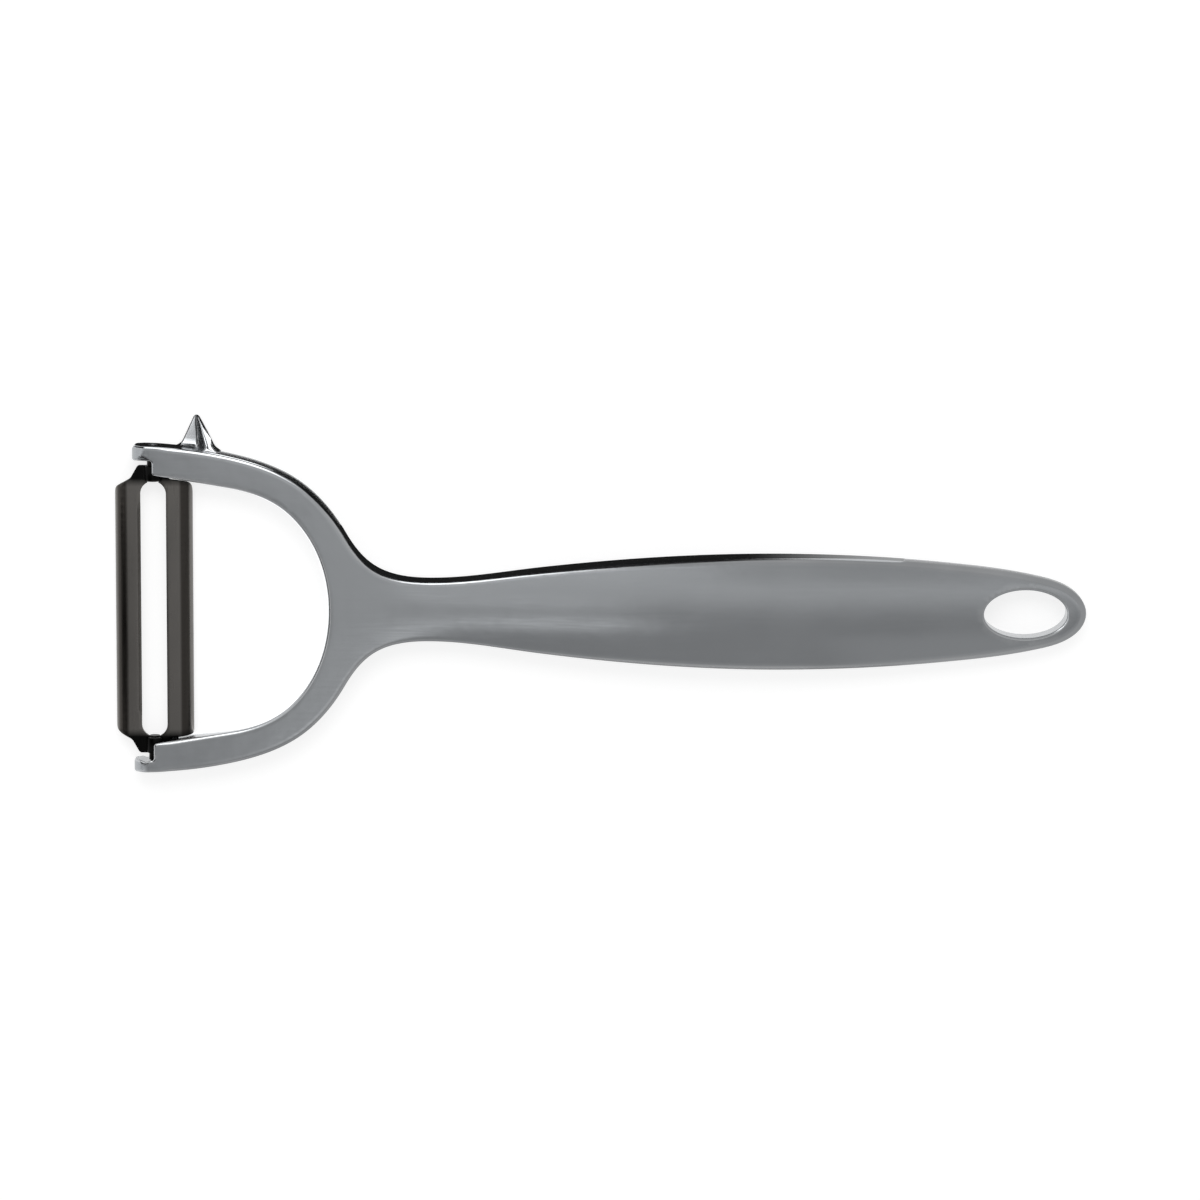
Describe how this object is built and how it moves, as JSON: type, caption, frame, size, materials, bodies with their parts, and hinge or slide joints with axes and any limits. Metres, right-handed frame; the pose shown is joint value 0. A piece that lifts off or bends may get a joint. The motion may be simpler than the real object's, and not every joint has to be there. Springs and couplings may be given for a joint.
{
  "type": "vegetable peeler",
  "caption": "Cast metal Y-shaped vegetable peeler with a swinging slotted blade between the fork's arms, an eye-remover spur and a hanging hole.",
  "frame": {"origin": "on the flat back, on the handle's centre line, halfway along the tool's length", "axes": "+X along the handle from the blade to the hanging hole, +Y across the fork to the arm with the eye remover, +Z out of the flat back"},
  "size_m": [0.18, 0.0665, 0.0082],
  "materials": {
    "plated_casting": "dark chrome plate over a polished casting",
    "blade_steel": "rolled stainless strip with ground edges",
    "pin_steel": "drawn wire, cut and bevelled"
  },
  "bodies": {
    "fork_and_handle": {"handle_casting": "plated_casting"},
    "swinging_blade": {"swivel_blade": "blade_steel", "upper_pivot_pin": "pin_steel", "lower_pivot_pin": "pin_steel"}
  },
  "joints": [
    {"name": "blade_swivel", "type": "hinge", "parent": "fork_and_handle", "child": "swinging_blade", "pos_m": [-0.0828, 0, 0.003], "axis": [0, 1, 0], "range_deg": [-33, 33]}
  ]
}
